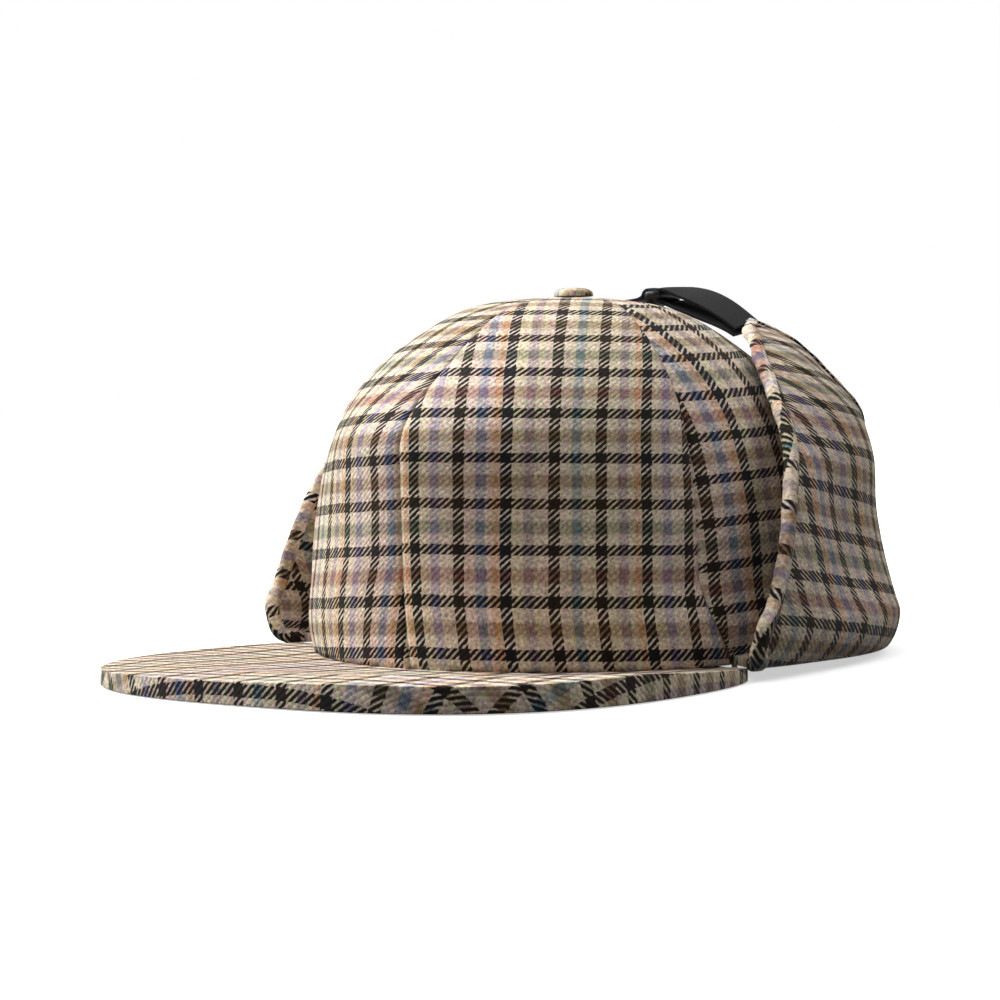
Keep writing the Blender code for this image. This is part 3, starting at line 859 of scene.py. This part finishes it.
def make_brim():
    """The brim: a stiff board with the cloth drawn over its rounded rim."""
    centre_y = BRIM_ROUND_DEPTH - BRIM_REACH
    last_inner = side_seam(BRIM_THICKNESS) - BRIM_SEAM_MARGIN
    last_outer = brim_angle_at(-BRIM_END_AHEAD)

    def place(across, up):
        side = 2 * across - 1
        inner = round_axis(side * last_inner, crown_outline(side * last_inner) - BRIM_UNDER_CROWN, 0)
        inner.z = 0
        outer_angle = side * last_outer
        reach = oval_radius(
            outer_angle, BRIM_HALF_WIDTH, BRIM_ROUND_DEPTH, BRIM_ROUND_DEPTH, BRIM_SQUARENESS
        )
        outer = round_axis(outer_angle, reach, 0) + Vector((0, centre_y, 0))
        outer.z = 0
        corner = max(0.0, (abs(side) - BRIM_CORNER_START) / (1 - BRIM_CORNER_START))
        rounding = 1 - BRIM_CORNER_CUT * (1 - math.sqrt(max(0.0, 1 - corner**2)))
        return inner.lerp(outer, up * rounding)

    brim = add_grid("wool_brim", *BRIM_GRID, place)
    thicken(brim, BRIM_THICKNESS, -1)
    soften(brim, BRIM_RIM_ROUND, 6)
    apply_all(brim)
    middle_y = AXIS_Y + centre_y
    for vertex in brim.data.vertices:
        x, y, z = vertex.co
        angle = math.degrees(math.atan2(x, AXIS_Y - y))
        out = math.hypot(x, y - AXIS_Y) / crown_outline(angle) - 1
        near = 0.5 + 0.5 * x / BRIM_HALF_WIDTH
        rise = BRIM_FAR_RISE + (BRIM_NEAR_RISE - BRIM_FAR_RISE) * min(1.0, near * 1.5)
        top = BRIM_SEAT + rise * min(1.0, max(0.0, out) / BRIM_RISE_RUN) ** 1.5
        swell = BRIM_WAVE * ripple(x / BRIM_WAVE_ACROSS, y / BRIM_WAVE_ALONG, 3.0)
        vertex.co.z = z / BRIM_THICKNESS * (top + swell)
    points = [vertex.co.copy() for vertex in brim.data.vertices]

    def cloth(index, face):
        point = points[index]
        if face.normal.z < -0.8:
            return point.x + BRIM_UNDER_CUT[0], point.y + BRIM_UNDER_CUT[1]
        slope_x = math.copysign((abs(point.x) / BRIM_HALF_WIDTH) ** (BRIM_SQUARENESS - 1), point.x)
        y = point.y - middle_y
        slope_y = math.copysign((abs(y) / BRIM_ROUND_DEPTH) ** (BRIM_SQUARENESS - 1), y)
        steep = math.hypot(slope_x / BRIM_HALF_WIDTH, slope_y / BRIM_ROUND_DEPTH)
        down = (BRIM_THICKNESS - point.z) * BRIM_RIM_EASE / max(steep, 0.001)
        if face.normal.z > 0.99:
            down = 0.0
        u = point.x + slope_x / BRIM_HALF_WIDTH * down
        v = point.y + slope_y / BRIM_ROUND_DEPTH * down
        return u * BRIM_EASE + BRIM_CUT[0], v * BRIM_EASE + BRIM_CUT[1]

    write_cloth_map(brim, cloth)
    return finish_piece(brim, WOOL, "wool", "brim")


make_brim()


def flap_outline(angle):
    """Radius of the earflap's widest outline."""
    return oval_radius(angle, FLAP_HALF_WIDTH, FLAP_FRONT_REACH, FLAP_REAR_REACH, FLAP_SQUARENESS)


def flap_column(way_across):
    """What one line up the earflap needs: its angles at foot and head, and how far up it goes."""
    foot, head, top_rise = read_table(FLAP_EDGE, way_across)
    top_way = find_way(FLAP_PROFILE, 0, top_rise, 0.25, 1.0)
    return way_across, foot, head, top_way, read_table(FLAP_PROFILE, top_way)[3]


def flap_point(column, up):
    """A point on the earflap's outer face, and its angle and way on the profile."""
    way_across, foot, head, top_way, top_lean = column
    way = up * top_way
    rise, out, spread, lean, flare = read_table(FLAP_PROFILE, way)
    angle = foot + (head - foot) * lean / top_lean
    seam_radius = crown_outline(angle) - CROWN_CLOTH
    near_hem = max(0.0, 1 - way_across / FLARE_WIDTH) ** 2
    radius = seam_radius + (flap_outline(angle) * spread - seam_radius) * out
    radius += FLAP_FLARE * flare * near_hem
    return round_axis(angle, radius, max(rise, 0.0) * FLAP_HEIGHT), angle, way


def flap_lengths():
    """Length along the earflap's outline from the nape to each degree, and up its profile."""
    around = {180: 0.0}
    for angle in range(179, 39, -1):
        radius = flap_outline(angle)
        step = math.hypot(radius * math.radians(1), radius - flap_outline(angle + 1))
        around[angle] = around[angle + 1] + step
    upward = [0.0]
    column = flap_column(FLAP_MEASURED_AT)
    before = flap_point(column, 0.0)[0]
    for step in range(1, FLAP_WAY_STEPS + 1):
        point = flap_point(column, step / FLAP_WAY_STEPS / column[3])[0]
        upward.append(upward[-1] + (Vector((point.x, point.z)) - Vector((before.x, before.z))).length)
        before = point
    return around, upward


FLAP_AROUND, FLAP_UPWARD = flap_lengths()


def flap_cloth(angle, way):
    """Where on its cloth a point of the earflap lies: length from the nape, and height."""
    whole = min(int(angle), 179)
    around = FLAP_AROUND[whole] + (FLAP_AROUND[whole + 1] - FLAP_AROUND[whole]) * (angle - whole)
    place = min(way, 0.9999) * FLAP_WAY_STEPS
    low = int(place)
    upward = FLAP_UPWARD[low] + (FLAP_UPWARD[low + 1] - FLAP_UPWARD[low]) * (place - low)
    spread = read_table(FLAP_PROFILE, way)[2] if way > FLAP_FOLD_END else FLAP_FOLD_SPREAD
    return around * spread * FLAP_EASE, upward + FLAP_GRAIN_SLOPE * around


# Lines up the earflap that are already worked out
FLAP_COLUMNS = {}


def flap_surface(way_across, up):
    """A point on the earflap's face as it is sewn, with soft waves, and its place on the cloth."""
    key = round(way_across, 6)
    if key not in FLAP_COLUMNS:
        FLAP_COLUMNS[key] = flap_column(way_across)
    point, angle, way = flap_point(FLAP_COLUMNS[key], up)
    turn = math.radians(angle)
    outward = Vector((math.sin(turn), -math.cos(turn), 0))
    loose = min(1.0, max(0.0, way - FLAP_FOLD_END) * 4)
    wave = FLAP_WAVE * ripple(angle / 9, way * 9, 1.3) * loose
    return point + outward * wave, flap_cloth(angle, way)


def lobe_top(way_across):
    """How far up the earflap's cloth goes: lower at the lobe's front corner, which is rounded."""
    corner = max(0.0, 1 - (way_across - HEM_INSET) / LOBE_ROUND_WIDTH)
    return 1 - TOP_INSET - LOBE_ROUND * corner**2.2


def make_earflap():
    """The turned-up flaps and the nape, one piece of double cloth."""
    columns, rows = FLAP_GRID

    def spot(across, up):
        side = 1 - 2 * across
        way_across = HEM_INSET + (1 - HEM_INSET) * (1 - abs(side))
        return side, way_across, up * lobe_top(way_across)

    def place(across, up):
        side, way_across, way_up = spot(across, up)
        point = flap_surface(way_across, way_up)[0]
        point.x *= -1 if side < 0 else 1
        return point

    flap = add_grid("wool_earflap", columns, rows, place)
    places = []
    for row in range(rows + 1):
        for column in range(columns + 1):
            side, way_across, way_up = spot(column / columns, row / rows)
            u, v = flap_surface(way_across, way_up)[1]
            cut = FLAP_LEFT_CUT if side > 0 else FLAP_RIGHT_CUT
            places.append((math.copysign(u, side) + cut[0], v + cut[1]))
    write_cloth_map(flap, lambda index, _face: places[index])
    measure_cut(flap, columns, rows)
    thicken(flap, FLAP_CLOTH, -1)
    soften(flap, FLAP_CLOTH * 0.3, 2)
    return finish_piece(flap, WOOL, "wool", "earflap")


make_earflap()


def make_hem(name, side):
    """The rolled edge of the earflap: its facing turned over the rim and sewn down outside."""
    steps, section = HEM_GRID

    def edge(run):
        """Along the free edge: up the front hem, over the lobe and round to the nape."""
        if run < HEM_FRONT_SHARE:
            return HEM_INSET, HEM_START + (lobe_top(HEM_INSET) - HEM_START) * run / HEM_FRONT_SHARE
        way = (run - HEM_FRONT_SHARE) / (1 - HEM_FRONT_SHARE)
        across = HEM_INSET + (1 - HEM_INSET) * way * (0.35 + 0.65 * way)
        return across, lobe_top(across)

    def frame_at(run):
        """A point of the free edge, and the outward normal of the cloth there."""
        across, up = edge(run)
        step = 0.004
        point = flap_surface(across, up)[0]
        if across + step <= 1:
            along_across = flap_surface(across + step, up)[0] - point
        else:
            along_across = point - flap_surface(across - step, up)[0]
        along_up = point - flap_surface(across, up - step)[0]
        normal = along_up.cross(along_across).normalized()
        if normal.dot(Vector((point.x, point.y - AXIS_Y, 0))) < 0:
            normal.negate()
        return point, normal

    runs = [step / steps for step in range(steps + 1)]
    frames = [frame_at(run) for run in runs]
    lengths = [0.0]
    for (before, _), (after, _) in zip(frames, frames[1:]):
        lengths.append(lengths[-1] + (after - before).length)
    smooth = []
    for index in range(steps + 1):
        low, high = max(0, index - 6), min(steps, index + 6)
        tangent = (frames[high][0] - frames[low][0]).normalized()
        normal = sum((frames[k][1] for k in range(low, high + 1)), Vector())
        normal = (normal - tangent * normal.dot(tangent)).normalized()
        smooth.append((tangent, normal))
    places = {}

    def place(across, up):
        index = round(across * steps)
        point = frames[index][0]
        tangent, normal = smooth[index]
        outward = normal.cross(tangent)
        length = lengths[index]
        taper = min(1.0, length / HEM_TAPER) ** 0.5
        lap = HEM_LAP * (1 + max(0.0, 1 - point.z / HEM_WIDE_BELOW) ** 1.2)
        pucker = HEM_PUCKER * math.sin(length / HEM_PUCKER_STEP)
        pucker += HEM_WAVE * ripple(length / HEM_WAVE_STEP, 0, 2.2)
        half = FLAP_CLOTH / 2
        roll = half + (HEM_ROLL - half) * taper
        outer_part, inner_part = 0.32, 0.22
        if up < outer_part:
            way = up / outer_part
            out = -lap * (1 - way)
            stand = half + HEM_CLEARANCE + (roll - half) * min(1.0, way * 2.2) ** 0.6 + pucker * way
        elif up > 1 - inner_part:
            way = (1 - up) / inner_part
            out = -HEM_LAP * (1 - way)
            stand = -half - HEM_CLEARANCE - (roll - half) * min(1.0, way * 2.2) ** 0.6
        else:
            turn = math.pi * (up - outer_part) / (1 - outer_part - inner_part)
            out = (roll * (0.25 + 0.75 * taper) + pucker) * math.sin(turn)
            stand = (roll + pucker) * math.cos(turn)
        centre = point - normal * half
        places[index, round(up * section)] = (length, up * (lap + HEM_LAP + math.pi * HEM_ROLL))
        spot = centre + outward * out + normal * stand
        spot.x *= side
        return spot

    hem = add_grid(name, steps, section, place)
    width = steps + 1
    slant = math.radians(HEM_SLANT)

    def cloth(index, _face):
        along, around = places[index % width, index // width]
        u = along * math.cos(slant) - around * math.sin(slant)
        v = along * math.sin(slant) + around * math.cos(slant)
        return u + HEM_CUT[0], v + HEM_CUT[1]

    write_cloth_map(hem, cloth)
    thicken(hem, HEM_CLOTH, side, even=False)
    return finish_piece(hem, WOOL, "wool")


make_hem("wool_flap_hem_left", 1)
make_hem("wool_flap_hem_right", -1)


def make_ribbon(name, rows, grid, node):
    """Webbing along a table of x, z and bank, in the plane of the strap's middle."""
    steps, across_steps = grid
    points = []
    for step in range(steps + 1):
        x, z, bank = read_table(rows, step / steps)
        points.append((Vector((x, AXIS_Y + STRAP_Y, z)), math.radians(bank)))
    lengths = [0.0]
    for (before, _), (after, _) in zip(points, points[1:]):
        lengths.append(lengths[-1] + (after - before).length)

    def place(across, up):
        index = round(across * steps)
        point, bank = points[index]
        ahead = points[min(index + 1, steps)][0] - points[max(index - 1, 0)][0]
        tangent = ahead.normalized()
        side = Vector((0, 1, 0))
        face = tangent.cross(side)
        side = side * math.cos(bank) + face * math.sin(bank)
        face = tangent.cross(side)
        crown = STRAP_CROWN * (1 - (2 * up - 1) ** 2)
        return point + side * STRAP_WIDTH * (up - 0.5) + face * crown

    ribbon = add_grid(name, steps, across_steps, place)
    width = steps + 1

    def cloth(index, _face):
        return lengths[index % width], STRAP_WIDTH * (index // width) / across_steps

    write_cloth_map(ribbon, cloth)
    measure_cut(ribbon, steps, across_steps)
    thicken(ribbon, WEBBING, 0, even=False)
    soften(ribbon, WEBBING * 0.32, 3)
    return finish_piece(ribbon, BLACK_WEBBING, "webbing", node)


# x, z, bank: the left strap from the ear lobe, under the ring's bar, over it and back
LEFT_STRAP = (
    (0.0490, 0.1108, -16),
    (0.0456, 0.1127, -16),
    (0.0410, 0.1147, -16),
    (0.0353, 0.1168, -16),
    (0.0300, 0.1186, -14),
    (0.0250, 0.1201, -10),
    (0.0215, 0.1211, -6),
    (0.0191, 0.1217, -2),
    (0.0176, 0.1225, 0),
    (0.0171, 0.1238, 0),
    (0.0175, 0.1251, 0),
    (0.0188, 0.1258, 1),
    (0.0215, 0.1257, 6),
    (0.0250, 0.1249, 12),
    (0.0295, 0.1237, 16),
    (0.0337, 0.1222, 18),
    (0.0376, 0.1204, 18),
    (0.0415, 0.1182, 17),
    (0.0455, 0.1156, 15),
    (0.0495, 0.1127, 14),
)

# The right strap from the other lobe over the crown, over the ring's other bar and back under itself
RIGHT_STRAP = (
    (-0.0490, 0.1128, 6),
    (-0.0440, 0.1141, 4),
    (-0.0380, 0.1155, 1),
    (-0.0310, 0.1170, -3),
    (-0.0240, 0.1183, -6),
    (-0.0170, 0.1194, -8),
    (-0.0100, 0.1205, -8),
    (-0.0040, 0.1207, -8),
    (0.0020, 0.1210, -8),
    (0.0065, 0.1215, -6),
    (0.0098, 0.1223, -3),
    (0.0115, 0.1235, 0),
    (0.0122, 0.1249, 0),
    (0.0135, 0.1257, 0),
    (0.0147, 0.1251, 0),
    (0.0151, 0.1238, 0),
    (0.0147, 0.1225, 0),
    (0.0134, 0.1217, 1),
    (0.0116, 0.1212, 4),
    (0.0096, 0.1209, 6),
)


def make_straps():
    """The left strap, doubled round the ring, and the right one, which lies on the crown."""
    make_ribbon("webbing_strap_left", LEFT_STRAP, LEFT_STRAP_GRID, "strap_left")
    make_ribbon("webbing_strap_right", RIGHT_STRAP, RIGHT_STRAP_GRID, "strap_right")


make_straps()


def make_ring():
    """The moulded ring: a torus drawn out to a rounded oblong, thicker than it is wide."""
    tube = 0.25
    bpy.ops.mesh.primitive_torus_add(
        major_segments=120, minor_segments=20, major_radius=1, minor_radius=tube
    )
    ring = bpy.context.object
    ring.name = "plastic_strap_ring"
    half = (RING_HALF_WIDTH, STRAP_WIDTH / 2 + RING_PAST_STRAP)
    for vertex in ring.data.vertices:
        x, y, z = vertex.co
        turn = math.atan2(y, x)
        out = (math.hypot(x, y) - 1) / tube
        reach = (abs(math.cos(turn)) ** 5 + abs(math.sin(turn)) ** 5) ** (-1 / 5)
        middle = (half[0] * math.cos(turn) * reach, half[1] * math.sin(turn) * reach)
        facing = [max(abs(a) / size, 0.2) ** 4 * math.copysign(1, a) for a, size in zip(middle, half)]
        facing = Vector(facing).normalized()
        vertex.co = (
            RING_X + middle[0] + facing.x * out * RING_HALF_WALL,
            AXIS_Y + STRAP_Y + middle[1] + facing.y * out * RING_HALF_WALL,
            RING_HEIGHT + z / tube * RING_HALF_HEIGHT,
        )
    return finish_piece(ring, BLACK_PLASTIC, "ring_plastic", "strap_ring")


make_ring()
